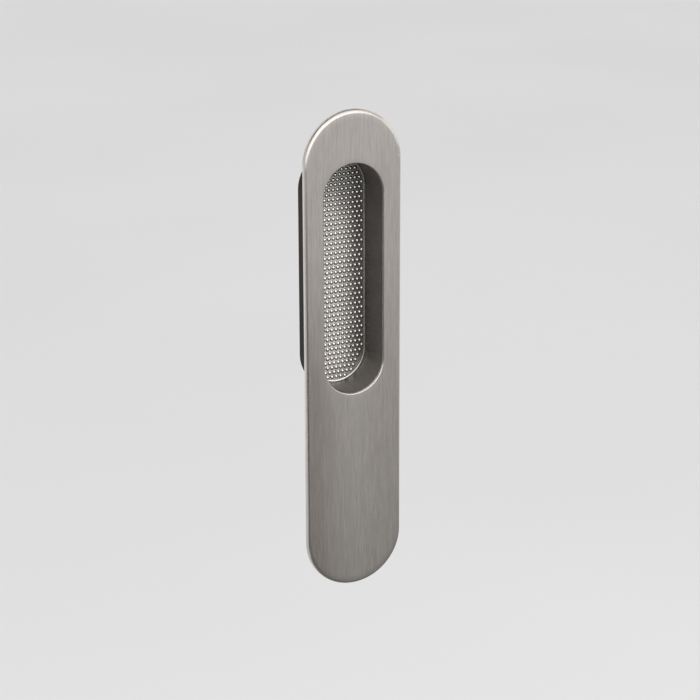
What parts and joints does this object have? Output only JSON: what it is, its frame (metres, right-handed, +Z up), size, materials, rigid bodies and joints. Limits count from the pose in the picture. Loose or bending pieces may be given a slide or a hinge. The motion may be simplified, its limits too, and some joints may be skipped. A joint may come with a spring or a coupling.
{
  "type": "recessed pull handle",
  "caption": "Recessed pull handle: a long round-ended cover plate with a deep finger recess near its upper end, whose floor is a field of small round pips.",
  "frame": {"origin": "centre of the cover plate, on the plane of the door's face that its rim rests on", "axes": "+Z up along the plate's length, +Y into the door, so that the plate's face looks along -Y, and +X to the right of someone who faces the door"},
  "size_m": [0.038, 0.0179, 0.18],
  "materials": {
    "cover": "brushed along its length",
    "pan": "satin",
    "insert": "bright satin",
    "pad": "closed-cell foam",
    "base": "matte",
    "stud": "plain",
    "washer": "zinc plated",
    "spacer": "as turned"
  },
  "bodies": {
    "root": {"face_plate": "cover", "recess_pan": "pan", "pip_insert": "insert", "insert_pad": "pad", "moulded_base": "base", "upper_stud": "stud", "lower_stud": "stud", "upper_washer": "washer", "lower_washer": "washer", "upper_spacer": "spacer", "lower_spacer": "spacer"}
  },
  "joints": []
}
